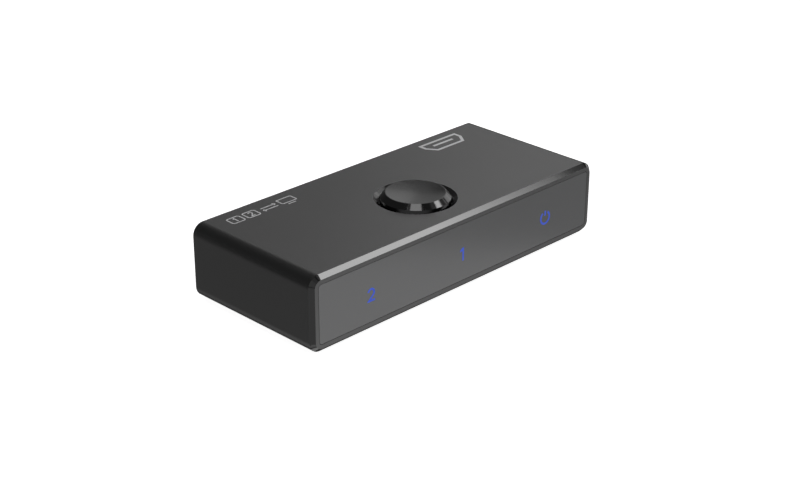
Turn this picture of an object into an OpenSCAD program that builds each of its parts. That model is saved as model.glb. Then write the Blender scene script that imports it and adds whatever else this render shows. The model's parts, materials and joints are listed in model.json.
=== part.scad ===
// Two-way HDMI switch box: an extruded sleeve with a large push button on top.
// X runs to the right as seen from the front, Y from the front to the rear, Z up.
// The origin is in the middle of the footprint, on the surface that the feet stand on.

/* [Case] */
// Outside width of the sleeve
case_width = 90; // [81:0.5:120]
// Outside depth of the sleeve, from the front rim to the rear rim
case_depth = 39; // [35:0.5:60]
// Outside height of the sleeve, without its feet
case_height = 17.7; // [15.5:0.1:30]
// Outside radius of the sleeve's four long edges
corner_radius = 2.75; // [2.2:0.05:4]
// Wall of the sleeve
wall = 1.9; // [1.5:0.05:2.4]
// Chamfer around both ends of the sleeve
end_chamfer = 0.95; // [0.3:0.05:1.3]

/* [Feet] */
// Radius of a rubber foot
foot_radius = 4; // [2:0.1:5]
// Height of a rubber foot
foot_height = 0.8; // [0.5:0.1:4]
// Chamfer around the bottom of a foot
foot_chamfer = 0.25; // [0.1:0.05:0.4]
// From the case's outside faces to the middle of a foot
foot_inset = 9; // [6:0.5:12]

/* [Panels] */
// Thickness of the front panel and the rear panel
panel_thickness = 1.6; // [1.2:0.1:2.2]
// How far the rear panel's face lies inside the rear rim
rear_recess = 0.15; // [0:0.05:0.5]
// Play around the panels and the front frame
panel_gap = 0.1; // [0.05:0.01:0.2]
// Thickness of the frame behind the front panel
frame_thickness = 2.4; // [1.6:0.1:3]

/* [Lit symbols] */
// From one lit symbol to the next
icon_spacing = 28.15; // [20:0.05:33]
// From the sleeve's underside to the middle of the lit symbols
icon_level = 8.4; // [7:0.05:10]
// Height of the lit numbers
icon_height = 3.2; // [2.5:0.05:4.4]
// Outside radius of the lit power ring
power_ring_radius = 1.75; // [1.3:0.05:2.2]
// Stroke of the lit symbols
icon_stroke = 0.5; // [0.4:0.05:0.7]
// Depth of the lit symbols in the front panel
icon_depth = 0.5; // [0.3:0.05:0.9]
// Width of the window behind each lit symbol
window_width = 5.4; // [5:0.1:8]
// Height of the window behind each lit symbol
window_height = 4.6; // [4.5:0.1:5.4]
// How far a light guide's shoulder reaches past its window on each side
guide_shoulder = 0.8; // [0.5:0.1:1.5]
// Thickness of a light guide's shoulder
guide_shoulder_thickness = 0.7; // [0.4:0.1:1.2]

/* [Button] */
// From the front rim to the edge of the button's chamfered hole
button_setback = 5.1; // [4.8:0.1:9]
// Radius of the button
button_radius = 8.08; // [6:0.01:9]
// Bevel around the button's top
button_bevel = 1.16; // [0.5:0.01:1.4]
// How far the button stands above the sleeve
button_rise = 1.36; // [1.2:0.01:3]
// Depth of the dish in the button's top
button_dish = 0.3; // [0.1:0.01:0.5]
// Flat land between the dish and the bevel
button_land = 0.15; // [0.1:0.01:0.5]
// Gap between the button and its hole
button_gap = 0.37; // [0.3:0.01:0.6]
// Width of the chamfer around the button's hole
hole_chamfer = 1.05; // [0.4:0.05:1.3]
// Depth of the chamfer around the button's hole
hole_chamfer_depth = 0.8; // [0.3:0.05:1.2]
// How far the button can be pressed
button_travel = 0.8; // [0.3:0.05:1.1]
// Thickness of the button cap's side and top
cap_wall = 1.2; // [0.8:0.05:1.6]
// How far the retaining flange reaches past the hole
flange_reach = 1.2; // [0.6:0.1:2]
// Thickness of the retaining flange
flange_thickness = 1.2; // [0.8:0.1:1.6]
// Radius of the stem under the flange
stem_radius = 2.4; // [2:0.1:3.5]
// Running clearance around the stem
stem_clearance = 0.08; // [0.03:0.01:0.1]
// Thickness of the guide's plate
guide_thickness = 1.2; // [0.8:0.1:2]
// Radius of a leg of the guide
guide_leg_radius = 1.2; // [0.9:0.05:2]
// Radius of the peg under a leg of the guide
guide_peg_radius = 0.7; // [0.4:0.05:0.8]

/* [Tactile switch] */
// Side of the square switch body
tact_size = 7.4; // [6:0.1:9]
// Floor of the switch body
tact_floor = 0.6; // [0.4:0.05:1]
// Radius of the plunger where it comes through the cover
plunger_radius = 1.7; // [1.2:0.05:2.2]
// Radius of the plunger's flange under the cover
plunger_flange_radius = 2.4; // [2.2:0.05:2.8]
// Thickness of the plunger's flange
plunger_flange_thickness = 1.2; // [0.6:0.1:1.8]
// Thickness of the metal cover
tact_cover_thickness = 0.3; // [0.2:0.05:0.5]
// Wall of the rubber dome
dome_wall = 0.45; // [0.3:0.05:0.5]
// Radius of a lead of the switch
lead_radius = 0.4; // [0.3:0.05:0.5]

/* [Circuit board] */
// Thickness of the board
board_thickness = 1.6; // [1:0.1:2]
// Space under the board
board_lift = 2.3; // [1.8:0.1:3]
// Gap between the board's edges and the case
board_gap = 0.2; // [0.1:0.05:0.4]
// How far the rails stand out of the side walls
rail_depth = 1.2; // [0.8:0.1:1.8]
// Thickness of a rail
rail_thickness = 0.8; // [0.6:0.1:1.2]
// Play of the board between its rails
rail_play = 0.1; // [0.05:0.01:0.2]

/* [Rear sockets] */
// From one HDMI socket to the next
port_pitch = 21; // [18:0.5:25]
// From the last HDMI socket to the power inlet
inlet_pitch = 15; // [13:0.5:20]
// How far the sockets' mouths lie inside the rear panel's face
port_recess = 0.05; // [0:0.05:0.5]
// Gap around a socket in the rear panel
port_gap = 0.3; // [0.15:0.05:0.5]
// Sheet metal of the socket shells
shell_sheet = 0.35; // [0.25:0.05:0.45]
// Width of an HDMI mouth
hdmi_width = 14; // [13:0.1:15.5]
// Height of an HDMI mouth
hdmi_height = 4.55; // [4.4:0.05:5]
// Height of the slanted corners of an HDMI mouth
hdmi_slant = 1.8; // [1.2:0.1:2.2]
// Depth of an HDMI shell
hdmi_depth = 11; // [10:0.1:12.5]
// How far an HDMI tongue lies behind its mouth
hdmi_tongue_recess = 2.4; // [2.2:0.1:3]
// Width of an HDMI tongue
hdmi_tongue_width = 10.8; // [10.4:0.1:11.5]
// Thickness of an HDMI tongue
hdmi_tongue_thickness = 1.3; // [1:0.05:1.6]
// Width of the power inlet's mouth
inlet_width = 8.34; // [7.5:0.02:9]
// Height of the power inlet's mouth
inlet_height = 2.56; // [2.4:0.02:3]
// Depth of the power inlet's shell
inlet_depth = 7.3; // [6.5:0.1:9]
// How far the inlet's tongue lies behind its mouth
inlet_tongue_recess = 1; // [0.5:0.1:1.5]
// Width of the inlet's tongue
inlet_tongue_width = 6.7; // [6:0.1:6.9]
// Thickness of the inlet's tongue
inlet_tongue_thickness = 0.7; // [0.5:0.05:0.9]

/* [Screws] */
// Radius of a rear screw's shank
screw_radius = 0.9; // [0.7:0.05:1.1]
// Length of a rear screw
screw_length = 7; // [5:0.5:10]
// Radius of a rear screw's countersunk head
screw_head_radius = 1.6; // [1.3:0.05:1.9]
// From a screw's head to the edge of the rear panel
screw_edge = 0.6; // [0.4:0.05:1.5]
// Clearance around the screws and the frame's pins
screw_clearance = 0.04; // [0.02:0.01:0.08]
// Wall around a screw channel
channel_wall = 0.8; // [0.6:0.05:1]

/* [Hidden] */
FEET = ["front_left", "front_right", "rear_left", "rear_right"];
ICONS = ["two", "one", "power"];
PORTS = [1, 2, 3];
$fn = 96;

// How far a cut runs past the face that it opens, or a rib into the wall that it grows from
past = 0.3;
// Air left between two faces that nearly touch
touch_gap = 0.02;
// Clearance of a piece that is glued or pressed into another
seat_gap = 0.05;
// Air that moving pieces keep at the end of their travel
travel_air = 0.3;

// Case
front_y = -case_depth / 2;
rear_y = case_depth / 2;
floor_z = foot_height;
roof_z = floor_z + case_height;
middle_z = (floor_z + roof_z) / 2;
inner_floor_z = floor_z + wall;
ceiling_z = roof_z - wall;
inner_width = case_width - 2 * wall;
inner_height = case_height - 2 * wall;
least_radius = 0.2;
inner_radius = max(corner_radius - wall, panel_gap + least_radius);
front_seat_y = front_y + panel_thickness + frame_thickness;
rear_face_y = rear_y - rear_recess;
rear_seat_y = rear_face_y - panel_thickness;

// Board and its rails
board_bottom_z = inner_floor_z + board_lift;
board_top_z = board_bottom_z + board_thickness;
board_width = inner_width - 2 * board_gap;
board_front_y = front_seat_y + board_gap;
board_rear_y = rear_seat_y - board_gap;
upper_rail_z = board_top_z + rail_play;

// Screw channels
bore_radius = screw_radius + screw_clearance;
channel_radius = screw_radius + channel_wall;
channel_x = inner_width / 2 - panel_gap - screw_edge - screw_head_radius;
channel_rise = 0.3;
channel_z = upper_rail_z + rail_thickness + channel_rise + channel_radius;
screw_head_sink = 0.1;
drive_width = 0.4;
drive_length = 1.8;
drive_depth = 0.45;
frame_pin_length = 3;

// Button and what carries it
hole_radius = button_radius + button_gap;
button_y = front_y + button_setback + hole_radius + hole_chamfer;
button_top_z = roof_z + button_rise;
cap_top_radius = button_radius - button_bevel;
dish_radius = cap_top_radius - button_land;
dish_sphere_radius = (dish_radius * dish_radius + button_dish * button_dish) / (2 * button_dish);
flange_air = 0.1;
flange_top_z = ceiling_z - flange_air;
flange_bottom_z = flange_top_z - flange_thickness;
flange_radius = hole_radius + flange_reach;
cap_inner_radius = button_radius - cap_wall;
cap_inner_top_z = button_top_z - button_dish - cap_wall;
guide_top_z = flange_bottom_z - button_travel - travel_air;
guide_bottom_z = guide_top_z - guide_thickness;
guide_leg_circle = tact_size * sqrt(2) / 2 + guide_leg_radius + travel_air;
guide_radius = guide_leg_circle + guide_leg_radius + travel_air;

// Tactile switch
dome_height = button_travel + 2 * dome_wall;
dome_radius = plunger_flange_radius;
dome_top_radius = plunger_radius;
tact_cavity_radius = plunger_flange_radius + travel_air;
plunger_bottom_z = board_top_z + tact_floor + dome_height + touch_gap;
tact_body_top_z = plunger_bottom_z + plunger_flange_thickness + seat_gap;
tact_cover_top_z = tact_body_top_z + tact_cover_thickness;
plunger_top_z = tact_cover_top_z + button_travel + 2 * travel_air;
lead_spread_x = tact_size / 2 - 2 * lead_radius;
lead_spread_y = tact_size / 2 - 4 * lead_radius;
lead_tail = 0.8;

// Lit symbols and light guides
icon_x = [-icon_spacing, 0, icon_spacing];
icon_z = floor_z + icon_level;
digit_aspect = 0.7;
digit_half_width = digit_aspect * icon_height / 2;
flag_aspect = 0.22;
flag_slope = 0.7;
arc_steps = 24;
panel_back_y = front_y + panel_thickness;
guide_back_y = front_seat_y + guide_shoulder_thickness;
led_size = [1.6, 0.8, 0.8];
led_y = guide_back_y + travel_air + led_size[1] / 2;

// Sockets
hdmi_outer_width = hdmi_width + 2 * shell_sheet;
inlet_outer_width = inlet_width + 2 * shell_sheet;
port_row = 2 * port_pitch + inlet_pitch;
first_port_x = -(port_row + inlet_outer_width / 2 - hdmi_outer_width / 2) / 2;
hdmi_z = board_top_z + shell_sheet + hdmi_height / 2;
inlet_x = first_port_x + port_row;
inlet_z = board_top_z + shell_sheet + inlet_height / 2;
mouth_y = rear_face_y - port_recess;
hdmi_back_y = mouth_y - hdmi_depth;
inlet_back_y = mouth_y - inlet_depth;
tongue_root = 2.2;
hdmi_tongue_lift = 0.25;
inlet_tongue_root = 1.6;
tab_width = 1;
tab_gap = 0.15;
tab_tail = 0.6;
hdmi_tab_inset = 1.8;
inlet_tab_inset = 1.4;
hdmi_tab_y = [hdmi_back_y + hdmi_tab_inset, rear_seat_y - hdmi_tab_inset];
inlet_tab_y = [inlet_back_y + inlet_tab_inset, rear_seat_y - inlet_tab_inset];
hdmi_contact = [0.42, 0.12];
hdmi_upper_contacts = 10;
hdmi_lower_contacts = 9;
hdmi_contact_pitch = 1;
hdmi_contact_setback = 0.7;
inlet_contact = [0.26, 0.08];
inlet_contacts_per_face = 12;
inlet_contact_pitch = 0.5;
inlet_contact_setback = 0.4;

// Pieces on the board, with their places from the button's axis
switch_chip_at = [-21, 1];
switch_chip_size = [9, 9, 0.9];
control_chip_at = [19, -1];
control_chip_size = [3.9, 4.9, 1.45];
regulator_at = [inlet_x, 6];
regulator_size = [6.5, 3.5, 1.6];
coil_at = [inlet_x, -2];
coil_size = 4.2;
coil_base_height = 0.6;
coil_edge = 0.2;
coil_winding_height = 1.4;
crystal_at = [-31, -1];
crystal_size = [3.2, 2.5, 0.7];
chip_standoff = 0.1;
chip_mark_radius = 0.4;
chip_mark_depth = 0.1;
chip_mark_inset = 1;
control_lead_width = 0.42;
control_lead_pitch = 1.27;
regulator_lead_width = 0.7;
regulator_lead_pitch = 2.3;
regulator_tab_width = 3;
lead_sheet = 0.2;
lead_reach = 0.9;
capacitor_size = [1.6, 0.8, 0.8];
capacitor_pitch = [2.4, 1.6];
resistor_size = [1, 0.5, 0.4];
resistor_pitch = 2;
surge_array_size = [2.5, 1, 0.55];
surge_array_gap = 1;
row_gap = 1;

// The x of an HDMI socket, counted from 1
function hdmi_x(port) = first_port_x + (port - 1) * port_pitch;

// A point on a circle
function on_circle(radius, angle) = radius * [cos(angle), sin(angle)];

// Draws an outline given in x and z as a bar that runs to the rear from y
module bar_along_y(y, length) {
    translate([0, y + length, 0])
        rotate([90, 0, 0])
            linear_extrude(length) children();
}

// Puts a shape whose z points inwards on the face of the rear panel
module into_rear(x, z) {
    translate([x, rear_face_y, z])
        rotate([90, 0, 0]) children();
}

// A rectangle with rounded corners around the origin
module rounded_rectangle(width, height, radius) {
    square([width - 2 * radius, height], center = true);
    square([width, height - 2 * radius], center = true);
    for (x = [-1, 1], y = [-1, 1])
        translate([x * (width / 2 - radius), y * (height / 2 - radius)]) circle(radius);
}

// A rectangle with half-round ends around the origin
module racetrack(width, height) {
    square([width - height, height], center = true);
    for (side = [-1, 1]) translate([side * (width - height) / 2, 0]) circle(height / 2);
}

// An HDMI outline around the origin: wide at the top, slanted in at the lower corners
module hdmi_outline(grow) {
    half = hdmi_width / 2 + grow;
    top = hdmi_height / 2 + grow;
    slant_angle = 45;
    slant = hdmi_slant + grow * (1 - tan(slant_angle / 2));
    polygon([
        [-half, top], [half, top], [half, slant - top],
        [half - slant, -top], [slant - half, -top], [-half, slant - top]
    ]);
}

// The end of a rounded bar, whose outline shrinks by its own height on all sides
module chamfered_end(width, height, radius, chamfer) {
    for (x = [-1, 1], y = [-1, 1])
        translate([x * (width / 2 - radius), y * (height / 2 - radius), 0])
            cylinder(h = chamfer, r1 = radius, r2 = radius - chamfer);
    rotate([90, 0, 0])
        linear_extrude(height - 2 * radius, center = true) chamfer_section(width, chamfer);
    rotate([90, 0, 90])
        linear_extrude(width - 2 * radius, center = true) chamfer_section(height, chamfer);
}

// A low trapezium with 45 degree sides
module chamfer_section(width, chamfer) {
    polygon([
        [-width / 2, 0], [width / 2, 0],
        [width / 2 - chamfer, chamfer], [chamfer - width / 2, chamfer]
    ]);
}

// The outside of the sleeve
module sleeve_body() {
    bar_along_y(front_y + end_chamfer, case_depth - 2 * end_chamfer)
        translate([0, middle_z]) rounded_rectangle(case_width, case_height, corner_radius);
    for (turn = [0, 180])
        rotate([0, 0, turn])
            translate([0, front_y + end_chamfer, middle_z])
                rotate([90, 0, 0])
                    chamfered_end(case_width, case_height, corner_radius, end_chamfer);
}

// One side wall's rails for the board and its screw channel, as an outline in x and z
module side_ribs() {
    rail_x = inner_width / 2 - rail_depth;
    translate([rail_x, board_bottom_z - rail_thickness])
        square([rail_depth + past, rail_thickness]);
    translate([rail_x, upper_rail_z])
        square([rail_depth + past, rail_thickness]);
    difference() {
        union() {
            translate([channel_x, channel_z]) circle(channel_radius);
            translate([channel_x, channel_z - channel_radius])
                square([inner_width / 2 - channel_x + past, 2 * channel_radius]);
        }
        translate([channel_x, channel_z]) circle(bore_radius);
    }
}

// The extruded case with its board rails, screw channels and button hole
module sleeve() {
    color("#4d4f53")
    difference() {
        union() {
            difference() {
                sleeve_body();
                bar_along_y(front_y - past, case_depth + 2 * past)
                    translate([0, middle_z])
                        rounded_rectangle(inner_width, inner_height, inner_radius);
            }
            for (side = [0, 1])
                mirror([side, 0, 0])
                    bar_along_y(front_seat_y, rear_seat_y - front_seat_y) side_ribs();
        }
        translate([0, button_y, ceiling_z - past])
            cylinder(h = wall + 2 * past, r = hole_radius);
        translate([0, button_y, roof_z - hole_chamfer_depth])
            cylinder(h = 2 * hole_chamfer_depth, r1 = hole_radius, r2 = hole_radius + 2 * hole_chamfer);
    }
}

// A plate that fills the sleeve's opening, in x and z
module panel_outline() {
    translate([0, middle_z])
        rounded_rectangle(
            inner_width - 2 * panel_gap, inner_height - 2 * panel_gap, inner_radius - panel_gap
        );
}

// The number two as one outline: a bowl, a diagonal that leaves it straight, and a foot
module number_two() {
    outer = digit_half_width;
    inner = outer - icon_stroke;
    base = -icon_height / 2;
    bowl = [0, icon_height / 2 - outer];
    heel = [-outer, base + icon_stroke / 2];
    start = 165;
    end = atan2(heel[1] - bowl[1], heel[0]) + acos(inner / norm(heel - bowl));
    slope = [sin(end), -cos(end)];
    outer_end = bowl + on_circle(outer, end);
    knee = outer_end + slope * (base + icon_stroke - outer_end[1]) / slope[1];
    polygon(concat(
        [for (i = [0 : arc_steps]) bowl + on_circle(outer, start + (end - start) * i / arc_steps)],
        [knee, [outer, base + icon_stroke], [outer, base], [-outer, base], heel],
        [for (i = [0 : arc_steps]) bowl + on_circle(inner, end + (start - end) * i / arc_steps)]
    ));
}

// The number one: an upright with a flag
module number_one() {
    top = icon_height / 2;
    flag_width = flag_aspect * icon_height;
    flag = [-flag_width, top - flag_slope * flag_width];
    translate([0, -top]) square([icon_stroke, icon_height]);
    polygon([
        [icon_stroke, top], [0, top], flag,
        flag - [0, icon_stroke], [icon_stroke, top - icon_stroke]
    ]);
}

// The power symbol: an open ring with an upright in its gap
module power_symbol() {
    up = 90;
    half_gap = 34;
    beyond = 2 * power_ring_radius;
    difference() {
        circle(power_ring_radius);
        circle(power_ring_radius - icon_stroke);
        polygon([
            [0, 0], on_circle(beyond, up - half_gap),
            on_circle(beyond, up), on_circle(beyond, up + half_gap)
        ]);
    }
    translate([-icon_stroke / 2, icon_stroke])
        square([icon_stroke, power_ring_radius - icon_stroke]);
}

// The outline of one lit symbol, in its place in x and z
module icon_outline(i) {
    translate([icon_x[i], icon_z]) {
        if (i == 0) number_two();
        if (i == 1) number_one();
        if (i == 2) power_symbol();
    }
}

// The smoked front panel with a pocket for each lit symbol
module front_panel() {
    color("#2b2d30")
    difference() {
        bar_along_y(front_y, panel_thickness) panel_outline();
        for (i = [0 : len(ICONS) - 1])
            bar_along_y(front_y - past, past + icon_depth) icon_outline(i);
    }
}

// A lit symbol, flush in its pocket
module icon(i) {
    color("#4a63e0")
    bar_along_y(front_y, icon_depth) icon_outline(i);
}

// The window in the front frame behind a lit symbol
module window_outline(i, gap) {
    translate([icon_x[i], icon_z])
        square([window_width + 2 * gap, window_height + 2 * gap], center = true);
}

// The frame behind the front panel, pinned into the screw channels
module front_frame() {
    color("#1c1c1e")
    union() {
        difference() {
            bar_along_y(panel_back_y, frame_thickness) panel_outline();
            for (i = [0 : len(ICONS) - 1])
                bar_along_y(panel_back_y - past, frame_thickness + 2 * past)
                    window_outline(i, seat_gap);
        }
        for (side = [-1, 1])
            bar_along_y(front_seat_y - past, frame_pin_length + past)
                translate([side * channel_x, channel_z]) circle(screw_radius);
    }
}

// A clear block that carries light from its lamp through the frame to a lit symbol
module light_guide(i) {
    shoulder_bottom_z = board_top_z + travel_air;
    color("#dfe6ee", 0.6)
    union() {
        bar_along_y(panel_back_y + touch_gap, frame_thickness - touch_gap) window_outline(i, 0);
        translate([
            icon_x[i] - window_width / 2 - guide_shoulder, front_seat_y, shoulder_bottom_z
        ])
            cube([
                window_width + 2 * guide_shoulder, guide_shoulder_thickness,
                icon_z + window_height / 2 - shoulder_bottom_z
            ]);
    }
}

// A lamp on the board behind its light guide
module led(i) {
    color("#f4f6fa")
    translate([icon_x[i] - led_size[0] / 2, led_y - led_size[1] / 2, board_top_z]) cube(led_size);
}

// A rear screw's outline from its axis, grown on all sides, with z pointing inwards
module screw_outline(head_grow, shank_grow, length) {
    head = screw_head_radius + head_grow;
    shank = screw_radius + shank_grow;
    polygon([
        [0, 0], [head, 0], [head, screw_head_sink],
        [shank, screw_head_sink + head - shank], [shank, length], [0, length]
    ]);
}

// The rear panel with its socket cut-outs and countersunk holes
module rear_panel() {
    color("#2b2d30")
    difference() {
        bar_along_y(rear_seat_y, panel_thickness) panel_outline();
        for (port = PORTS)
            bar_along_y(rear_seat_y - past, panel_thickness + 2 * past)
                translate([hdmi_x(port), hdmi_z]) hdmi_outline(shell_sheet + port_gap);
        bar_along_y(rear_seat_y - past, panel_thickness + 2 * past)
            translate([inlet_x, inlet_z])
                racetrack(
                    inlet_outer_width + 2 * port_gap,
                    inlet_height + 2 * (shell_sheet + port_gap)
                );
        for (side = [-1, 1])
            into_rear(side * channel_x, channel_z)
                rotate_extrude()
                    screw_outline(screw_clearance, screw_clearance, panel_thickness + past);
    }
}

// The two countersunk screws that hold the rear panel
module rear_screws() {
    color("#3a3a3c")
    for (side = [-1, 1])
        into_rear(side * channel_x, channel_z)
            difference() {
                rotate_extrude()
                    difference() {
                        screw_outline(0, 0, screw_length);
                        square([2 * screw_head_radius, screw_head_sink]);
                    }
                for (turn = [0, 90])
                    rotate([0, 0, turn])
                        translate([-drive_length / 2, -drive_width / 2, 0])
                            cube([drive_length, drive_width, screw_head_sink + drive_depth]);
            }
}

// The places of the guide's legs around the button's axis
module at_guide_legs() {
    for (turn = [45 : 90 : 315])
        translate([0, button_y, 0])
            rotate([0, 0, turn])
                translate([guide_leg_circle, 0, 0]) children();
}

// The places of the tactile switch's leads
module at_tact_leads() {
    for (x = [-1, 1], y = [-1, 1])
        translate([x * lead_spread_x, button_y + y * lead_spread_y, 0]) children();
}

// The tabs that hold a socket in the board, or the slots for them where grow is above zero
module socket_tabs(x, z, outer_width, places_y, grow) {
    for (side = [-1, 1], y = places_y)
        translate([
            x + side * (outer_width - shell_sheet) / 2 - shell_sheet / 2 - grow,
            y - tab_width / 2 - grow,
            board_bottom_z - tab_tail
        ])
            cube([shell_sheet + 2 * grow, tab_width + 2 * grow, z - board_bottom_z + tab_tail]);
}

// The circuit board with holes for everything that is pushed through it
module board() {
    color("#1f5b3a")
    difference() {
        translate([-board_width / 2, board_front_y, board_bottom_z])
            cube([board_width, board_rear_y - board_front_y, board_thickness]);
        at_guide_legs()
            translate([0, 0, board_bottom_z - past])
                cylinder(h = board_thickness + 2 * past, r = guide_peg_radius + seat_gap);
        at_tact_leads()
            translate([0, 0, board_bottom_z - past])
                cylinder(h = board_thickness + 2 * past, r = lead_radius + seat_gap);
        for (port = PORTS)
            socket_tabs(hdmi_x(port), board_top_z + past, hdmi_outer_width, hdmi_tab_y, tab_gap);
        socket_tabs(inlet_x, board_top_z + past, inlet_outer_width, inlet_tab_y, tab_gap);
    }
}

// The button's bevelled and dished metal cap
module button_cap() {
    color("#3f4145")
    translate([0, button_y, 0])
        difference() {
            rotate_extrude()
                polygon([
                    [cap_inner_radius, flange_top_z], [button_radius, flange_top_z],
                    [button_radius, button_top_z - button_bevel], [cap_top_radius, button_top_z],
                    [0, button_top_z], [0, cap_inner_top_z], [cap_inner_radius, cap_inner_top_z]
                ]);
            translate([0, 0, button_top_z - button_dish + dish_sphere_radius])
                rotate([90, 0, 0]) sphere(dish_sphere_radius, $fn = 360);
        }
}

// The carrier inside the cap, with the retaining flange and the stem
module button_carrier() {
    color("#1c1c1e")
    translate([0, button_y, 0])
        rotate_extrude()
            polygon([
                [0, plunger_top_z + touch_gap], [stem_radius, plunger_top_z + touch_gap],
                [stem_radius, flange_bottom_z], [flange_radius, flange_bottom_z],
                [flange_radius, flange_top_z], [cap_inner_radius - seat_gap, flange_top_z],
                [cap_inner_radius - seat_gap, cap_inner_top_z - seat_gap],
                [0, cap_inner_top_z - seat_gap]
            ]);
}

// The guide that stands on the board and keeps the button's stem upright
module button_guide() {
    color("#d8d8d4")
    difference() {
        union() {
            translate([0, button_y, guide_bottom_z])
                cylinder(h = guide_thickness, r = guide_radius);
            at_guide_legs() {
                translate([0, 0, board_top_z])
                    cylinder(h = guide_bottom_z - board_top_z + past, r = guide_leg_radius);
                translate([0, 0, board_bottom_z])
                    cylinder(h = board_thickness + past, r = guide_peg_radius);
            }
        }
        translate([0, button_y, guide_bottom_z - past])
            cylinder(h = guide_thickness + 2 * past, r = stem_radius + stem_clearance);
    }
}

// The body of the tactile switch
module tact_base() {
    color("#2a2a2c")
    difference() {
        translate([-tact_size / 2, button_y - tact_size / 2, board_top_z])
            cube([tact_size, tact_size, tact_body_top_z - board_top_z]);
        translate([0, button_y, board_top_z + tact_floor])
            cylinder(h = tact_body_top_z - board_top_z, r = tact_cavity_radius);
    }
}

// The metal cover of the tactile switch
module tact_cover() {
    color("#b9bcc0")
    difference() {
        translate([-tact_size / 2, button_y - tact_size / 2, tact_body_top_z])
            cube([tact_size, tact_size, tact_cover_thickness]);
        translate([0, button_y, tact_body_top_z - past])
            cylinder(h = tact_cover_thickness + 2 * past, r = plunger_radius + travel_air);
    }
}

// The plunger of the tactile switch
module tact_plunger() {
    color("#a33a2c")
    translate([0, button_y, plunger_bottom_z]) {
        cylinder(h = plunger_flange_thickness, r = plunger_flange_radius);
        cylinder(h = plunger_top_z - plunger_bottom_z, r = plunger_radius);
    }
}

// The rubber dome that snaps under the plunger and pushes it back
module tact_dome() {
    color("#c9c4b8")
    translate([0, button_y, board_top_z + tact_floor])
        rotate_extrude()
            polygon([
                [dome_radius - dome_wall, 0], [dome_radius, 0], [dome_top_radius, dome_height],
                [0, dome_height], [0, dome_height - dome_wall],
                [dome_top_radius - dome_wall, dome_height - dome_wall]
            ]);
}

// The leads of the tactile switch
module tact_leads() {
    color("#c8c9cb")
    at_tact_leads()
        translate([0, 0, board_bottom_z - lead_tail])
            cylinder(h = board_thickness + lead_tail, r = lead_radius);
}

// The folded metal shell of an HDMI socket, with its tabs
module hdmi_shell(port) {
    color("#c4c6c9")
    union() {
        difference() {
            bar_along_y(hdmi_back_y, hdmi_depth)
                translate([hdmi_x(port), hdmi_z]) hdmi_outline(shell_sheet);
            bar_along_y(hdmi_back_y + shell_sheet, hdmi_depth)
                translate([hdmi_x(port), hdmi_z]) hdmi_outline(0);
        }
        socket_tabs(hdmi_x(port), hdmi_z, hdmi_outer_width, hdmi_tab_y, 0);
    }
}

// The plastic tongue of an HDMI socket, on the block that fills the rear of its shell
module hdmi_tongue(port) {
    root_y = hdmi_back_y + shell_sheet + seat_gap;
    color("#18181a")
    union() {
        bar_along_y(root_y, tongue_root)
            translate([hdmi_x(port), hdmi_z]) hdmi_outline(-seat_gap);
        translate([
            hdmi_x(port) - hdmi_tongue_width / 2, root_y,
            hdmi_z + hdmi_tongue_lift - hdmi_tongue_thickness / 2
        ])
            cube([
                hdmi_tongue_width, mouth_y - hdmi_tongue_recess - root_y, hdmi_tongue_thickness
            ]);
    }
}

// A row of contacts on one face of a tongue: count strips of one size, from y to the tip
module contact_row(x, z, y, tip_y, count, pitch, strip) {
    for (i = [0 : count - 1])
        translate([x + (i - (count - 1) / 2) * pitch - strip[0] / 2, y, z])
            cube([strip[0], tip_y - y, strip[1]]);
}

// The contacts on both faces of an HDMI tongue
module hdmi_contacts(port) {
    root_y = hdmi_back_y + shell_sheet + seat_gap + tongue_root;
    tip_y = mouth_y - hdmi_tongue_recess - hdmi_contact_setback;
    tongue_z = hdmi_z + hdmi_tongue_lift;
    half = hdmi_tongue_thickness / 2;
    color("#d8b45a") {
        contact_row(
            hdmi_x(port), tongue_z + half, root_y, tip_y,
            hdmi_upper_contacts, hdmi_contact_pitch, hdmi_contact
        );
        contact_row(
            hdmi_x(port), tongue_z - half - hdmi_contact[1], root_y, tip_y,
            hdmi_lower_contacts, hdmi_contact_pitch, hdmi_contact
        );
    }
}

// The drawn metal shell of the power inlet, with its tabs
module inlet_shell() {
    color("#c4c6c9")
    union() {
        difference() {
            bar_along_y(inlet_back_y, inlet_depth)
                translate([inlet_x, inlet_z])
                    racetrack(inlet_outer_width, inlet_height + 2 * shell_sheet);
            bar_along_y(inlet_back_y + shell_sheet, inlet_depth)
                translate([inlet_x, inlet_z]) racetrack(inlet_width, inlet_height);
        }
        socket_tabs(inlet_x, inlet_z, inlet_outer_width, inlet_tab_y, 0);
    }
}

// The plastic tongue of the power inlet, on the block that fills the rear of its shell
module inlet_tongue() {
    root_y = inlet_back_y + shell_sheet + seat_gap;
    color("#18181a")
    union() {
        bar_along_y(root_y, inlet_tongue_root)
            translate([inlet_x, inlet_z])
                racetrack(inlet_width - 2 * shell_sheet, inlet_height - 2 * seat_gap);
        translate([
            inlet_x - inlet_tongue_width / 2, root_y, inlet_z - inlet_tongue_thickness / 2
        ])
            cube([
                inlet_tongue_width, mouth_y - inlet_tongue_recess - root_y, inlet_tongue_thickness
            ]);
    }
}

// The contacts on both faces of the power inlet's tongue
module inlet_contacts() {
    root_y = inlet_back_y + shell_sheet + seat_gap + inlet_tongue_root;
    tip_y = mouth_y - inlet_tongue_recess - inlet_contact_setback;
    half = inlet_tongue_thickness / 2;
    color("#d8b45a")
    for (z = [inlet_z + half, inlet_z - half - inlet_contact[1]])
        contact_row(
            inlet_x, z, root_y, tip_y,
            inlet_contacts_per_face, inlet_contact_pitch, inlet_contact
        );
}

// Moves a shape to a place on the board, given from the button's axis
module on_board(at) {
    translate([at[0], button_y + at[1], board_top_z]) children();
}

// A block that stands on its underside's middle
module block(size) {
    translate([-size[0] / 2, -size[1] / 2, 0]) cube(size);
}

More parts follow.
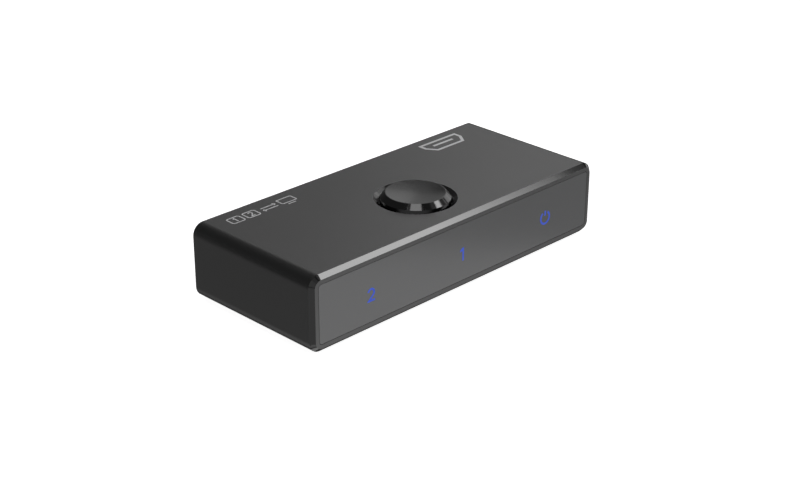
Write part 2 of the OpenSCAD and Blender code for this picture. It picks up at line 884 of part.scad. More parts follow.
// A small folded lead that runs out along x from a chip's side and down to the board
module folded_lead(width, height) {
    knee = lead_reach / 2;
    rotate([90, 0, 0])
        linear_extrude(width, center = true)
            polygon([
                [0, height], [knee, height], [knee, lead_sheet], [lead_reach, lead_sheet],
                [lead_reach, 0], [knee - lead_sheet, 0],
                [knee - lead_sheet, height - lead_sheet], [0, height - lead_sheet]
            ]);
}

// The chip that switches the video lines, with a heat pad under it
module switch_chip() {
    color("#202124")
    on_board(switch_chip_at)
        difference() {
            block(switch_chip_size);
            translate([
                chip_mark_inset - switch_chip_size[0] / 2,
                switch_chip_size[1] / 2 - chip_mark_inset,
                switch_chip_size[2] - chip_mark_depth
            ])
                cylinder(h = chip_mark_depth + past, r = chip_mark_radius);
        }
}

// The small chip that reads the button and drives the lamps
module control_chip() {
    color("#202124")
    on_board(control_chip_at)
        translate([0, 0, chip_standoff]) block(control_chip_size);
}

// The voltage regulator behind the power inlet
module regulator() {
    color("#202124")
    on_board(regulator_at)
        translate([0, 0, chip_standoff]) block(regulator_size);
}

// The leads of the control chip and the regulator
module chip_leads() {
    control_lead_height = control_chip_size[2] / 2 + chip_standoff;
    regulator_lead_height = regulator_size[2] / 2 + chip_standoff;
    color("#c8c9cb") {
        on_board(control_chip_at)
            for (turn = [0, 180], i = [-1.5 : 1 : 1.5])
                rotate([0, 0, turn])
                    translate([control_chip_size[0] / 2, i * control_lead_pitch, 0])
                        folded_lead(control_lead_width, control_lead_height);
        on_board(regulator_at) {
            for (i = [-1, 0, 1])
                translate([i * regulator_lead_pitch, -regulator_size[1] / 2, 0])
                    rotate([0, 0, -90]) folded_lead(regulator_lead_width, regulator_lead_height);
            translate([0, regulator_size[1] / 2, 0])
                rotate([0, 0, 90]) folded_lead(regulator_tab_width, regulator_lead_height);
        }
    }
}

// The supply coil: a square base under a round winding
module coil() {
    color("#3b3b3d")
    on_board(coil_at) {
        block([coil_size, coil_size, coil_base_height]);
        cylinder(h = coil_base_height + coil_winding_height, r = coil_size / 2 - coil_edge);
    }
}

// The crystal in its metal can
module crystal() {
    color("#c8c9cb")
    on_board(crystal_at) block(crystal_size);
}

// Capacitors in front of the switch chip and beside the coil
module capacitors() {
    from_chip = switch_chip_size[1] / 2 + row_gap + capacitor_size[1] / 2;
    from_coil = coil_size / 2 + row_gap + capacitor_size[0] / 2;
    color("#b08a5e") {
        for (i = [-1.5 : 1 : 1.5])
            on_board(switch_chip_at + [i * capacitor_pitch[0], -from_chip]) block(capacitor_size);
        for (i = [-1, 0, 1])
            on_board(coil_at + [-from_coil, i * capacitor_pitch[1]]) block(capacitor_size);
    }
}

// Resistors behind the switch chip and in front of the control chip
module resistors() {
    behind_switch_chip = (switch_chip_size[1] + row_gap + resistor_size[1]) / 2;
    before_control_chip = control_chip_size[1] / 2 + row_gap + resistor_size[1] / 2;
    color("#2a2a2c") {
        for (i = [-2 : 2])
            on_board(switch_chip_at + [i * resistor_pitch, behind_switch_chip]) block(resistor_size);
        for (i = [-1, 0, 1])
            on_board(control_chip_at + [i * resistor_pitch, -before_control_chip]) block(resistor_size);
    }
}

// A surge protector in front of each HDMI socket's pins
module surge_arrays() {
    color("#202124")
    for (port = PORTS)
        translate([hdmi_x(port), hdmi_back_y - surge_array_gap - surge_array_size[1] / 2, board_top_z])
            block(surge_array_size);
}

// A rubber foot: side is -1 or 1 in x, end is -1 or 1 in y
module foot(side, end) {
    color("#141415")
    translate([side * (case_width / 2 - foot_inset), end * (case_depth / 2 - foot_inset), 0]) {
        cylinder(h = foot_chamfer, r1 = foot_radius - foot_chamfer, r2 = foot_radius);
        translate([0, 0, foot_chamfer]) cylinder(h = foot_height - foot_chamfer, r = foot_radius);
    }
}

sleeve();
front_panel();
front_frame();
rear_panel();
rear_screws();
board();
button_cap();
button_carrier();
button_guide();
tact_base();
tact_cover();
tact_plunger();
tact_dome();
tact_leads();
inlet_shell();
inlet_tongue();
inlet_contacts();
switch_chip();
control_chip();
regulator();
chip_leads();
coil();
crystal();
capacitors();
resistors();
surge_arrays();
for (i = [0 : len(ICONS) - 1]) {
    icon(i);
    light_guide(i);
    led(i);
}
for (port = PORTS) {
    hdmi_shell(port);
    hdmi_tongue(port);
    hdmi_contacts(port);
}
for (i = [0 : len(FEET) - 1])
    foot(2 * (i % 2) - 1, 2 * floor(i / 2) - 1);
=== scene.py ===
import json
import math

import bmesh
import bpy
from mathutils import Matrix, Vector


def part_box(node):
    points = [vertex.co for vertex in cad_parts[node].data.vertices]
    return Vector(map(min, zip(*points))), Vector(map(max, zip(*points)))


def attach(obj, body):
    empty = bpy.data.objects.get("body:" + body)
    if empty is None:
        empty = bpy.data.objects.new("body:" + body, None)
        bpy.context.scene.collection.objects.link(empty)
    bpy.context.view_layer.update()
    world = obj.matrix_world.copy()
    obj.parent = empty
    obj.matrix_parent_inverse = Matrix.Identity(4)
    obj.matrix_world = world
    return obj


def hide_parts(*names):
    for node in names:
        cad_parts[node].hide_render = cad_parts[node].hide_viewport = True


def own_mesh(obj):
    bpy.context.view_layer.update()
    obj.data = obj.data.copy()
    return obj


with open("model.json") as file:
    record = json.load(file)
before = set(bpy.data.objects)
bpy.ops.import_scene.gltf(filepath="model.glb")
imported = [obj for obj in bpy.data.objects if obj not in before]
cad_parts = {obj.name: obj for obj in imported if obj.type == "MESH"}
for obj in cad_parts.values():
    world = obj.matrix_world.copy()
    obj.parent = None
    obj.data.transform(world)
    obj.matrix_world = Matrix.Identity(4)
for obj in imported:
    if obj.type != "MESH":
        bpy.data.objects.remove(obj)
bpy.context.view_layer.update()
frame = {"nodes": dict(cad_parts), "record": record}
nodes = frame["nodes"]

MM = 0.001

# Places on the part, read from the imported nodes, in metres
sleeve_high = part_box("sleeve")[1]
cap_low, cap_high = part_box("button_cap")
button_axis = ((cap_low.x + cap_high.x) / 2, (cap_low.y + cap_high.y) / 2)
rear_y = sleeve_high.y
roof_z = sleeve_high.z

# Sizes that the materials follow, as in the part's source
END_CHAMFER = 0.95 * MM
HOLE_EDGE = 9.5 * MM
CAP_FACE = 6.92 * MM
DISH_EDGE = 6.77 * MM

# How deep the hole's smooth cut goes, and the pitch of the rings spun into the dish
HOLE_CUT_DEPTH = 2.2 * MM
SPIN_PITCH = 0.09 * MM

# How softly one finish passes into the next
FINISH_BLUR = 0.03 * MM
END_FACE_BLUR = (0.01 * MM, 0.04 * MM)
HOLE_CUT_BLUR = 0.1 * MM

# Between these a noise has most of its values
NOISE_LOW = 0.3
NOISE_HIGH = 0.7

# The photograph's camera: where it aims, from where, its lens and what it can see
CAMERA_AIM = Vector((-9.306, -9.269, 9.8)) * MM
CAMERA_DISTANCE = 366.65 * MM
CAMERA_AZIMUTH = math.radians(-45.136)
CAMERA_ELEVATION = math.radians(25.287)
CAMERA_ROLL = math.radians(0.12)
CAMERA_LENS = 74.447
CAMERA_SENSOR = 36.0
CAMERA_CLIP = (0.01, 20.0)


class Look:
    """A material around one Principled shader, put together node by node in the part's own coordinates."""

    def __init__(self, name, **constants):
        self.material = bpy.data.materials.new(name)
        self.material.use_nodes = True
        self.tree = self.material.node_tree
        self.tree.nodes.clear()
        self.shader = self.node("ShaderNodeBsdfPrincipled")
        output = self.node("ShaderNodeOutputMaterial")
        self.tree.links.new(self.shader.outputs["BSDF"], output.inputs["Surface"])
        self.place = self.node("ShaderNodeTexCoord").outputs["Object"]
        for socket, value in constants.items():
            self.shader.inputs[socket.replace("_", " ")].default_value = value

    def node(self, kind, inputs=(), **settings):
        made = self.tree.nodes.new(kind)
        for name, value in settings.items():
            setattr(made, name, value)
        for name, value in dict(inputs).items():
            if isinstance(value, bpy.types.NodeSocket):
                self.tree.links.new(value, made.inputs[name])
            else:
                made.inputs[name].default_value = value
        return made

    def feed(self, name, value):
        self.tree.links.new(value, self.shader.inputs[name])

    def calculate(self, operation, first, second=0.0):
        return self.node("ShaderNodeMath", {0: first, 1: second}, operation=operation).outputs[0]

    def ramp(self, value, low, high, to_low=0.0, to_high=1.0):
        """Carries low to to_low and high to to_high, straight between them and level outside."""
        made = self.node(
            "ShaderNodeMapRange",
            {"Value": value, "From Min": low, "From Max": high, "To Min": to_low, "To Max": to_high},
        )
        return made.outputs["Result"]

    def spread(self, noise, low, high):
        """A number from low to high that follows a noise."""
        return self.ramp(noise, NOISE_LOW, NOISE_HIGH, low, high)

    def axes(self):
        made = self.node("ShaderNodeSeparateXYZ", {"Vector": self.place})
        return made.outputs["X"], made.outputs["Y"], made.outputs["Z"]

    def stretched(self, x, y, z):
        """The part's coordinates, with each axis divided by a length in millimetres."""
        scale = (1 / (x * MM), 1 / (y * MM), 1 / (z * MM))
        made = self.node("ShaderNodeMapping", {"Vector": self.place, "Scale": scale})
        return made.outputs["Vector"]

    def noise(self, size, detail=2.0, vector=None):
        """Clouds of about that size in millimetres, from 0 to 1, or in vector's own units."""
        inputs = {"Vector": vector or self.place, "Detail": detail}
        inputs["Scale"] = 1.0 if vector else 1 / (size * MM)
        return self.node("ShaderNodeTexNoise", inputs).outputs["Fac"]

    def from_axis(self, centre):
        """The distance from an upright axis through centre."""
        flat = self.node(
            "ShaderNodeVectorMath", {0: self.place, 1: (centre[0], centre[1], 0.0)}, operation="SUBTRACT"
        ).outputs["Vector"]
        level = self.node(
            "ShaderNodeVectorMath", {0: flat, 1: (1.0, 1.0, 0.0)}, operation="MULTIPLY"
        ).outputs["Vector"]
        return self.node("ShaderNodeVectorMath", {0: level}, operation="LENGTH").outputs["Value"]

    def blend(self, factor, first, second):
        """A colour that goes from the first to the second with factor."""
        made = self.node(
            "ShaderNodeMix", {"Factor": factor, "A": (*first, 1.0), "B": (*second, 1.0)}, data_type="RGBA"
        )
        return made.outputs["Result"]

    def level(self, factor, first, second):
        """A number that goes from the first to the second with factor."""
        made = self.node("ShaderNodeMix", {"Factor": factor, "A": first, "B": second}, data_type="FLOAT")
        return made.outputs["Result"]

    def bump(self, height, strength, depth):
        """Lets height, from 0 to 1, stand out of the surface by depth in millimetres."""
        made = self.node(
            "ShaderNodeBump", {"Height": height, "Strength": strength, "Distance": depth * MM}
        )
        self.feed("Normal", made.outputs["Normal"])


def grey(level):
    return (level, level, level)


def shade(colour, factor):
    return tuple(part * factor for part in colour)


# Materials

def dark_anodised():
    """Blasted dark anodised aluminium, polished at the end chamfers and cut smooth at the hole."""
    look = Look("dark_anodised", Metallic=1.0)
    _, y, z = look.axes()
    clouds = look.noise(14.0, 2.0)
    drawn = look.noise(1.0, 2.0, look.stretched(0.3, 12.0, 0.3))
    grain = look.noise(0.11, 2.0)
    look.feed("Base Color", look.blend(clouds, grey(0.126), grey(0.132)))
    along = look.calculate("ABSOLUTE", y)
    chamfer_y = rear_y - END_CHAMFER
    end = look.calculate(
        "MULTIPLY",
        look.ramp(along, chamfer_y - FINISH_BLUR, chamfer_y + FINISH_BLUR),
        look.ramp(along, rear_y - END_FACE_BLUR[0], rear_y - END_FACE_BLUR[1]),
    )
    radius = look.from_axis(button_axis)
    hole = look.ramp(radius, HOLE_EDGE + FINISH_BLUR, HOLE_EDGE - FINISH_BLUR)
    cut_z = roof_z - HOLE_CUT_DEPTH
    above = look.ramp(z, cut_z, cut_z + HOLE_CUT_BLUR)
    near_hole = look.calculate("MULTIPLY", hole, above)
    face = look.spread(grain, 0.31, 0.34)
    polished = look.level(end, face, look.spread(drawn, 0.05, 0.06))
    look.feed("Roughness", look.level(near_hole, polished, look.spread(drawn, 0.15, 0.18)))
    look.bump(grain, 0.03, 0.01)
    return look.material


def button_metal():
    """The button's metal: a satin spun dish inside a polished bevel."""
    look = Look("button_metal", Metallic=1.0)
    radius = look.from_axis(button_axis)
    clouds = look.noise(5.0, 3.0)
    rings = look.node(
        "ShaderNodeTexNoise",
        {"W": look.calculate("DIVIDE", radius, SPIN_PITCH), "Scale": 1.0, "Detail": 2.0},
        noise_dimensions="1D",
    ).outputs["Fac"]
    look.feed("Base Color", look.blend(clouds, grey(0.108), grey(0.116)))
    edge = look.ramp(radius, DISH_EDGE, CAP_FACE)
    dish = look.spread(rings, 0.12, 0.15)
    bevel = look.spread(clouds, 0.08, 0.11)
    look.feed("Roughness", look.level(edge, dish, bevel))
    inside = look.ramp(radius, CAP_FACE, DISH_EDGE)
    look.bump(look.calculate("MULTIPLY", rings, inside), 0.1, 0.004)
    return look.material


def smoked_panel():
    """Smooth smoked plastic with a faint grain."""
    look = Look("smoked_panel", IOR=1.6)
    clouds = look.noise(9.0, 3.0)
    grain = look.noise(0.2, 3.0)
    look.feed("Base Color", look.blend(clouds, (0.134, 0.135, 0.137), (0.142, 0.143, 0.145)))
    look.feed("Roughness", look.spread(grain, 0.10, 0.13))
    look.bump(grain, 0.03, 0.006)
    return look.material


def plastic(name, colour, roughness, grain=0.25, depth=0.012):
    """Moulded plastic or rubber with an eroded skin."""
    look = Look(name)
    clouds = look.noise(4.0, 3.0)
    look.feed("Base Color", look.blend(clouds, shade(colour, 0.85), shade(colour, 1.15)))
    skin = look.noise(grain, 3.0)
    look.feed("Roughness", look.spread(skin, roughness - 0.06, roughness + 0.06))
    look.bump(skin, 0.35, depth)
    return look.material


def metal(name, colour, roughness, drawn=(0.6, 8.0, 0.6)):
    """Plated or rolled metal with fine lines along its length."""
    look = Look(name, Metallic=1.0)
    clouds = look.noise(2.5, 3.0)
    lines = look.noise(1.0, 2.0, look.stretched(*drawn))
    look.feed("Base Color", look.blend(clouds, shade(colour, 0.88), shade(colour, 1.05)))
    look.feed("Roughness", look.spread(lines, roughness - 0.05, roughness + 0.05))
    look.bump(lines, 0.04, 0.006)
    return look.material


def lit_symbol():
    """A lamp's blue light in the front panel, slightly uneven over each symbol."""
    look = Look("lit_symbol", Roughness=0.4, Emission_Strength=1.0)
    clouds = look.noise(1.2, 2.0)
    look.feed("Base Color", look.blend(clouds, (0.02, 0.03, 0.12), (0.03, 0.04, 0.16)))
    look.feed("Emission Color", look.blend(clouds, (0.004, 0.036, 0.37), (0.012, 0.056, 0.46)))
    return look.material


def clear_plastic():
    """Clear light guide, faintly hazed."""
    look = Look("clear_plastic", Transmission_Weight=0.9, IOR=1.49)
    clouds = look.noise(1.5, 3.0)
    look.feed("Base Color", look.blend(clouds, (0.80, 0.84, 0.88), (0.90, 0.92, 0.95)))
    look.feed("Roughness", look.spread(clouds, 0.08, 0.25))
    return look.material


def board_green():
    """Green solder mask over copper tracks."""
    look = Look("board_green", IOR=1.5)
    weave = look.noise(1.6, 4.0)
    tracks = look.node(
        "ShaderNodeTexWave",
        {"Vector": look.stretched(2.2, 2.2, 2.2), "Scale": 1.0, "Distortion": 6.0, "Detail": 1.0},
        bands_direction="X",
    ).outputs["Fac"]
    lines = look.ramp(tracks, 0.62, 0.68)
    look.feed("Base Color", look.blend(lines, (0.010, 0.075, 0.032), (0.020, 0.125, 0.050)))
    look.feed("Roughness", look.spread(weave, 0.28, 0.40))
    look.bump(lines, 0.3, 0.02)
    return look.material


LOOKS = {
    "dark_anodised": dark_anodised(),
    "button_metal": button_metal(),
    "smoked_panel": smoked_panel(),
    "rear_plate": plastic("rear_plate", (0.100, 0.101, 0.104), 0.42),
    "lit_symbol": lit_symbol(),
    "black_plastic": plastic("black_plastic", (0.014, 0.014, 0.015), 0.45),
    "white_plastic": plastic("white_plastic", (0.70, 0.70, 0.67), 0.42),
    "red_plastic": plastic("red_plastic", (0.36, 0.045, 0.03), 0.40),
    "clear_plastic": clear_plastic(),
    "lamp_white": plastic("lamp_white", (0.82, 0.80, 0.62), 0.35),
    "board_green": board_green(),
    "socket_steel": metal("socket_steel", (0.60, 0.60, 0.585), 0.26),
    "contact_gold": metal("contact_gold", (0.83, 0.60, 0.26), 0.22),
    "chip_black": plastic("chip_black", (0.018, 0.018, 0.019), 0.55, 0.12),
    "tinned_lead": metal("tinned_lead", (0.66, 0.66, 0.65), 0.34),
    "coil_grey": plastic("coil_grey", (0.055, 0.055, 0.058), 0.5),
    "capacitor_tan": plastic("capacitor_tan", (0.36, 0.24, 0.13), 0.45),
    "dome_rubber": plastic("dome_rubber", (0.55, 0.53, 0.47), 0.6),
    "foot_rubber": plastic("foot_rubber", (0.012, 0.012, 0.012), 0.75, 0.3, 0.03),
    "black_screw": metal("black_screw", (0.10, 0.10, 0.105), 0.32),
}
PRINT_INK = plastic("print_ink", (0.72, 0.72, 0.73), 0.55)

slot_of = {entry["node"]: entry["material_slot"] for entry in frame["record"]["subparts"]}
for name, node in nodes.items():
    node.material_slots[0].material = LOOKS[slot_of[name]]


# Printed pictograms, drawn as strokes

INK_DEPTH = 0.012 * MM
CORNER_STEPS = 5


def arc(centre, radius, start, end, steps=14):
    return [
        (
            centre[0] + radius * math.cos(math.radians(start + (end - start) * i / steps)),
            centre[1] + radius * math.sin(math.radians(start + (end - start) * i / steps)),
        )
        for i in range(steps + 1)
    ]


def stroke_edges(path, width, closed):
    """The left and right edges of a stroke along path, with mitred corners."""
    points = [Vector(point) for point in path]
    count = len(points)
    left, right = [], []
    for i, point in enumerate(points):
        ways = []
        if i > 0 or closed:
            ways.append((point - points[i - 1]).normalized())
        if i < count - 1 or closed:
            ways.append((points[(i + 1) % count] - point).normalized())
        sides = [Vector((-way.y, way.x)) for way in ways]
        side = sum(sides, Vector((0, 0))).normalized()
        side *= width / 2 / side.dot(sides[0])
        left.append(point + side)
        right.append(point - side)
    return left, right


def add_stroke(mesh, place, path, width, closed=False):
    """One stroke of ink as a thin closed solid. place carries a flat point in millimetres to the part."""
    left, right = stroke_edges(path, width, closed)
    count = len(left)
    levels = []
    for height in (0.0, INK_DEPTH):
        levels.append((
            [mesh.verts.new(place @ Vector((p.x * MM, p.y * MM, height))) for p in left],
            [mesh.verts.new(place @ Vector((p.x * MM, p.y * MM, height))) for p in right],
        ))
    (low_left, low_right), (top_left, top_right) = levels
    for i in range(count if closed else count - 1):
        j = (i + 1) % count
        mesh.faces.new((top_left[i], top_right[i], top_right[j], top_left[j]))
        mesh.faces.new((low_left[i], low_left[j], low_right[j], low_right[i]))
        mesh.faces.new((low_left[i], top_left[i], top_left[j], low_left[j]))
        mesh.faces.new((low_right[i], low_right[j], top_right[j], top_right[i]))
    if not closed:
        for i, turn in ((0, 1), (count - 1, -1)):
            end = (low_left[i], low_right[i], top_right[i], top_left[i])
            mesh.faces.new(end[::turn])


def rounded_box(width, height, radius):
    x, y = width / 2 - radius, height / 2 - radius
    return [
        *arc((x, y), radius, 0, 90, CORNER_STEPS),
        *arc((-x, y), radius, 90, 180, CORNER_STEPS),
        *arc((-x, -y), radius, 180, 270, CORNER_STEPS),
        *arc((x, -y), radius, 270, 360, CORNER_STEPS),
    ]


def digit(number, height):
    """The number one or two as one stroke around the origin."""
    half = height / 2
    if number == 1:
        return [[(-0.22 * height, half - 0.24 * height), (0.02 * height, half), (0.02 * height, -half)]]
    bowl = 0.27 * height
    return [[
        *arc((0, half - bowl), bowl, 165, -35, 12), (-0.29 * height, -half), (0.29 * height, -half)
    ]]


def screen(width, height):
    """A display on its stand, as strokes around the origin."""
    panel = 0.74 * height
    lift = (height - panel) / 2
    outline = [(x, y + lift) for x, y in rounded_box(width, panel, 0.1 * height)]
    foot = [(-0.26 * width, -height / 2), (0.26 * width, -height / 2)]
    return outline, foot


def socket_outline(width, height):
    """A video socket seen from its mouth, as strokes around the origin: the shell and the tongue."""
    x, y = width / 2, height / 2
    cut = 0.14 * width
    shell = [(-x, y), (x, y), (x, 0.1 * y), (x - cut, -y), (cut - x, -y), (-x, 0.1 * y)]
    tongue = [(-0.56 * x, 0.12 * y), (0.56 * x, 0.12 * y)]
    return (shell, True), (tongue, False)


def placed(mesh, name, material):
    """Turns a finished mesh into an object of the scene."""
    data = bpy.data.meshes.new(name)
    mesh.to_mesh(data)
    mesh.free()
    data.materials.append(material)
    piece = bpy.data.objects.new(name, data)
    bpy.context.scene.collection.objects.link(piece)
    return piece


def printed(name, place, marks):
    """One piece of print: marks are (path, stroke width, closed)."""
    mesh = bmesh.new()
    for path, width, closed in marks:
        add_stroke(mesh, place, path, width, closed)
    bmesh.ops.recalc_face_normals(mesh, faces=mesh.faces)
    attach(placed(mesh, name, PRINT_INK), "case")


def moved(path, x, y):
    return [(px + x, py + y) for px, py in path]


def arrow_pair(x, y, length, spread, head):
    """Two arrows, one each way, one above the other."""
    marks = []
    for side in (1, -1):
        level = y + side * spread
        tip = x + side * length / 2
        marks.append([(x - side * length / 2, level), (tip - side * ARROW_TIP_GAP, level)])
        marks.append([(tip - side * head, level + head), (tip, level), (tip - side * head, level - head)])
    return marks


TOP_PLACE = Matrix.Translation((0.0, 0.0, roof_z))
REAR_PLACE = (
    Matrix.Translation((0.0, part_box("rear_panel")[1].y, 0.0))
    @ Matrix.Rotation(math.pi, 4, "Z")
    @ Matrix.Rotation(math.pi / 2, 4, "X")
)


# Print on the top, in millimetres
TOP_STROKE = 0.3
TOP_ROW = 14.0
SOURCES = ((1, -36.6), (2, -32.2))
SOURCE_FRAME = (3.4, 2.8, 0.5)
SOURCE_DIGIT = 1.7
ARROWS_X = -27.0
ARROW_LENGTH = 4.2
ARROW_SPREAD = 0.62
ARROW_HEAD = 0.5
ARROW_TIP_GAP = 0.12
DISPLAY_X = -21.6
DISPLAY_SIZE = (4.2, 3.2)
SOCKET_PLACE = (28.6, 13.5)
SOCKET_SIZE = (12.0, 4.4)
SOCKET_STROKE = 0.75


def display_marks(size, x, row, width):
    """A display of that size at x on a row, in strokes of that width."""
    outline, foot = screen(*size)
    return [(moved(outline, x, row), width, True), (moved(foot, x, row), width, False)]


def top_print():
    """Two numbered sources, arrows both ways, a display and, to the right, a video socket."""
    marks = []
    for number, x in SOURCES:
        marks.append((moved(rounded_box(*SOURCE_FRAME), x, TOP_ROW), TOP_STROKE, True))
        marks += [(moved(path, x, TOP_ROW), TOP_STROKE, False) for path in digit(number, SOURCE_DIGIT)]
    arrows = arrow_pair(ARROWS_X, TOP_ROW, ARROW_LENGTH, ARROW_SPREAD, ARROW_HEAD)
    marks += [(path, TOP_STROKE, False) for path in arrows]
    marks += display_marks(DISPLAY_SIZE, DISPLAY_X, TOP_ROW, TOP_STROKE)
    for path, closed in socket_outline(*SOCKET_SIZE):
        marks.append((moved(path, *SOCKET_PLACE), SOCKET_STROKE, closed))
    return marks


printed("top_print", TOP_PLACE, top_print())


# Print on the rear, in millimetres, over the sockets
REAR_STROKE = 0.26
REAR_LIFT = 2.4
REAR_DIGIT = 2.0
REAR_DISPLAY = (3.0, 2.3)
CURRENT_LINE = 1.3
CURRENT_LINE_UP = 0.35
CURRENT_DASH = 0.3
CURRENT_DASH_DOWN = 0.4
CURRENT_DASH_PITCH = 1.0


def rear_print():
    """Numbers over the two inputs, a display over the output and a direct current sign over the inlet."""
    marks = []
    tops = [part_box(f"hdmi_shell_{port}") for port in (1, 2, 3)]
    middles = [-(low.x + high.x) / 2 / MM for low, high in tops]
    row = tops[0][1].z / MM + REAR_LIFT
    for number, x in ((2, middles[0]), (1, middles[1])):
        marks += [(moved(path, x, row), REAR_STROKE, False) for path in digit(number, REAR_DIGIT)]
    marks += display_marks(REAR_DISPLAY, middles[2], row, REAR_STROKE)
    low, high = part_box("inlet_shell")
    x = -(low.x + high.x) / 2 / MM
    line = row + CURRENT_LINE_UP
    marks.append(([(x - CURRENT_LINE, line), (x + CURRENT_LINE, line)], REAR_STROKE, False))
    line = row - CURRENT_DASH_DOWN
    for step in (-1, 0, 1):
        dash = x + step * CURRENT_DASH_PITCH
        marks.append(([(dash - CURRENT_DASH, line), (dash + CURRENT_DASH, line)], REAR_STROKE, False))
    return marks


printed("rear_print", REAR_PLACE, rear_print())


# The switch's rubber dome, which the plunger presses down

DOME_WALL = 0.45 * MM
DOME_TOP_RADIUS = 1.7 * MM
DOME_STEPS = 48
MERGE_DISTANCE = 0.001 * MM


def rubber_dome():
    """Stands in the place of the plain solid."""
    low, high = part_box("tact_dome")
    radius = (high.x - low.x) / 2
    height = high.z - low.z
    foot = Vector((*button_axis, low.z))
    roof = height - DOME_WALL
    profile = [
        (0.0, roof),
        (DOME_TOP_RADIUS - DOME_WALL, roof),
        (radius - DOME_WALL, 0.0),
        (radius, 0.0),
        (DOME_TOP_RADIUS, height),
        (0.0, height),
    ]
    mesh = bmesh.new()
    points = [mesh.verts.new(foot + Vector((across, 0.0, up))) for across, up in profile]
    edges = [mesh.edges.new(pair) for pair in zip(points, points[1:])]
    up = (0.0, 0.0, 1.0)
    bmesh.ops.spin(mesh, geom=points + edges, cent=foot, axis=up, angle=2 * math.pi, steps=DOME_STEPS)
    bmesh.ops.remove_doubles(mesh, verts=mesh.verts, dist=MERGE_DISTANCE)
    bmesh.ops.recalc_face_normals(mesh, faces=mesh.faces)
    piece = placed(mesh, "rubber_dome", LOOKS["dome_rubber"])
    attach(piece, "case")
    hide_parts("tact_dome")
    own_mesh(piece)


rubber_dome()


# Stage: floor, light and camera

FLOOR_REACH = 4.0
FLOOR_GLOW = 0.90
WORLD_GLOW = 0.062


def floor():
    """A pale floor that glows, which the part doesn't mirror and through which light passes."""
    look = Look("floor_pale", Roughness=0.9, Emission_Strength=FLOOR_GLOW)
    clouds = look.noise(60.0, 2.0)
    look.feed("Base Color", look.blend(clouds, grey(0.78), grey(0.80)))
    look.feed("Emission Color", look.blend(clouds, grey(0.995), grey(1.0)))
    mesh = bmesh.new()
    corners = ((-1, -1), (1, -1), (1, 1), (-1, 1))
    mesh.faces.new([mesh.verts.new((x * FLOOR_REACH, y * FLOOR_REACH, 0.0)) for x, y in corners])
    made = placed(mesh, "floor", look.material)
    made.visible_diffuse = False
    made.visible_glossy = False
    made.visible_transmission = False
    made.visible_shadow = False


def toward(azimuth, elevation):
    """The direction of an azimuth from the rear to the right and an elevation, in degrees."""
    a, e = math.radians(azimuth), math.radians(elevation)
    return Vector((math.sin(a) * math.cos(e), math.cos(a) * math.cos(e), math.sin(e)))


LIGHT_AIM = Vector((0.0, -0.005, 0.012))
LIGHT_DISTANCE = 2.5

# The key softbox is even up to this share of its width, and has this share of its brightness at the edge
KEY_FALL_START = 0.7
KEY_EDGE_SHARE = 0.25

# Softboxes: name, azimuth, elevation, width and height in degrees as the part sees them, brightness
SOFTBOXES = [
    ("key", 126.5, 41.0, 14.1, 14.0, 3.2),
    ("key_under", 112.0, 31.5, 10.3, 9.0, 0.11),
    ("key_right", 146.0, 49.0, 10.0, 12.0, 0.14),
    ("over_front", -136.8, 66.0, 24.5, 12.0, 1.4),
    ("right_low", 88.0, 12.0, 18.0, 28.0, 0.9),
    ("right_edge", 74.0, 12.0, 10.0, 28.0, 0.5),
    ("right_high", 95.0, 35.0, 18.0, 18.0, 0.6),
    ("back_high", 58.5, 42.0, 27.0, 12.0, 3.0),
    ("back_right", 61.5, 21.0, 19.4, 14.0, 0.64),
    ("back_middle", 48.5, 19.25, 4.9, 11.5, 0.57),
    ("back_middle_high", 48.5, 27.75, 4.4, 5.5, 0.34),
    ("back_left", 29.5, 20.5, 19.5, 15.0, 0.36),
    ("back_left_middle", 42.95, 15.25, 5.7, 14.5, 0.26),
    ("back_left_high", 44.75, 26.5, 2.2, 8.0, 0.19),
    ("floor_front", 133.0, -41.0, 70.0, 32.0, 0.88),
    ("floor_far", 133.0, -18.0, 50.0, 13.0, 0.19),
    ("floor_left", -77.0, -60.0, 74.0, 30.0, 0.42),
    ("left_low", -50.0, -30.0, 70.0, 36.0, 0.14),
    ("corner_low", -135.0, -25.0, 40.0, 40.0, 0.2),
    ("front_fill", 168.0, 14.0, 54.0, 44.0, 0.98),
    ("zenith", -45.0, 88.0, 40.0, 34.0, 1.5),
    ("fill_front_right", 128.0, 10.0, 26.0, 24.0, 0.42),
    ("fill_front_left", -134.0, 18.0, 36.0, 36.0, 0.17),
    ("corner_high", -168.0, 40.0, 26.0, 24.0, 0.1),
    ("fill_left", -104.0, 22.0, 48.0, 34.0, 0.65),
    ("key_left", -124.0, 40.0, 16.0, 10.0, 1.6),
    ("floor_rear", 42.0, -25.0, 34.0, 16.0, 0.3),
    ("floor_middle", 178.0, -32.0, 36.0, 26.0, 0.35),
    ("floor_under", 170.0, -84.0, 30.0, 30.0, 0.9),
    ("rear_fill", -8.0, -6.0, 30.0, 14.0, 2.2),
    ("floor_right", 90.0, -28.0, 26.0, 22.0, 0.8),
]


def dim_to_the_left(lamp):
    """Lets a softbox fall off toward its left edge, as the part sees it."""
    lamp.use_nodes = True
    tree = lamp.node_tree
    shader = tree.nodes["Emission"]
    place = tree.nodes.new("ShaderNodeNewGeometry")
    across = tree.nodes.new("ShaderNodeSeparateXYZ")
    tree.links.new(place.outputs["Parametric"], across.inputs["Vector"])
    ramp = tree.nodes.new("ShaderNodeMapRange")
    tree.links.new(across.outputs["X"], ramp.inputs["Value"])
    ramp.inputs["From Min"].default_value = 1.0
    ramp.inputs["From Max"].default_value = KEY_FALL_START
    ramp.inputs["To Min"].default_value = KEY_EDGE_SHARE
    tree.links.new(ramp.outputs["Result"], shader.inputs["Strength"])


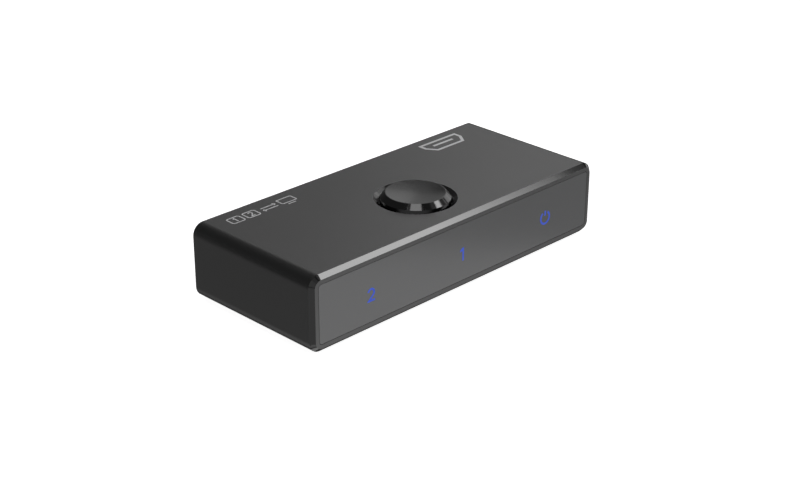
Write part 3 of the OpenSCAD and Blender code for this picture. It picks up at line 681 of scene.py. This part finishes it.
def softboxes():
    for name, azimuth, elevation, wide, high, brightness in SOFTBOXES:
        lamp = bpy.data.lights.new(name, "AREA")
        lamp.shape = "RECTANGLE"
        lamp.size = 2 * LIGHT_DISTANCE * math.tan(math.radians(wide / 2))
        lamp.size_y = 2 * LIGHT_DISTANCE * math.tan(math.radians(high / 2))
        lamp.energy = brightness * math.pi * lamp.size * lamp.size_y
        made = bpy.data.objects.new(name, lamp)
        way = toward(azimuth, elevation)
        made.location = LIGHT_AIM + way * LIGHT_DISTANCE
        made.rotation_mode = "QUATERNION"
        made.rotation_quaternion = (-way).to_track_quat("-Z", "Y")
        made.visible_camera = False
        bpy.context.scene.collection.objects.link(made)
        if name == "key":
            dim_to_the_left(lamp)


def surroundings():
    """White where the camera sees them, and dim for the part's light and reflections."""
    world = bpy.data.worlds.new("studio")
    world.use_nodes = True
    bpy.context.scene.world = world
    tree = world.node_tree
    tree.nodes.clear()
    output = tree.nodes.new("ShaderNodeOutputWorld")
    dim = tree.nodes.new("ShaderNodeBackground")
    dim.inputs["Color"].default_value = (1.0, 1.0, 1.0, 1.0)
    dim.inputs["Strength"].default_value = WORLD_GLOW
    pale = tree.nodes.new("ShaderNodeBackground")
    pale.inputs["Color"].default_value = (1.0, 1.0, 1.0, 1.0)
    path = tree.nodes.new("ShaderNodeLightPath")
    mix = tree.nodes.new("ShaderNodeMixShader")
    tree.links.new(path.outputs["Is Camera Ray"], mix.inputs["Fac"])
    tree.links.new(dim.outputs["Background"], mix.inputs[1])
    tree.links.new(pale.outputs["Background"], mix.inputs[2])
    tree.links.new(mix.outputs["Shader"], output.inputs["Surface"])


def camera():
    a, e = CAMERA_AZIMUTH, CAMERA_ELEVATION
    back = Vector((math.sin(a) * math.cos(e), -math.cos(a) * math.cos(e), math.sin(e)))
    right = (-back).cross(Vector((0, 0, 1))).normalized()
    up = back.cross(right)
    turned = right * math.cos(CAMERA_ROLL) + up * math.sin(CAMERA_ROLL)
    raised = up * math.cos(CAMERA_ROLL) - right * math.sin(CAMERA_ROLL)
    data = bpy.data.cameras.new("camera")
    data.sensor_fit = "HORIZONTAL"
    data.sensor_width = CAMERA_SENSOR
    data.lens = CAMERA_LENS
    data.clip_start, data.clip_end = CAMERA_CLIP
    made = bpy.data.objects.new("camera", data)
    bpy.context.scene.collection.objects.link(made)
    turn = Matrix((turned, raised, back)).transposed().to_4x4()
    made.matrix_world = Matrix.Translation(CAMERA_AIM + back * CAMERA_DISTANCE) @ turn
    bpy.context.scene.camera = made


floor()
softboxes()
surroundings()
camera()
bpy.context.scene.view_settings.view_transform = "Standard"
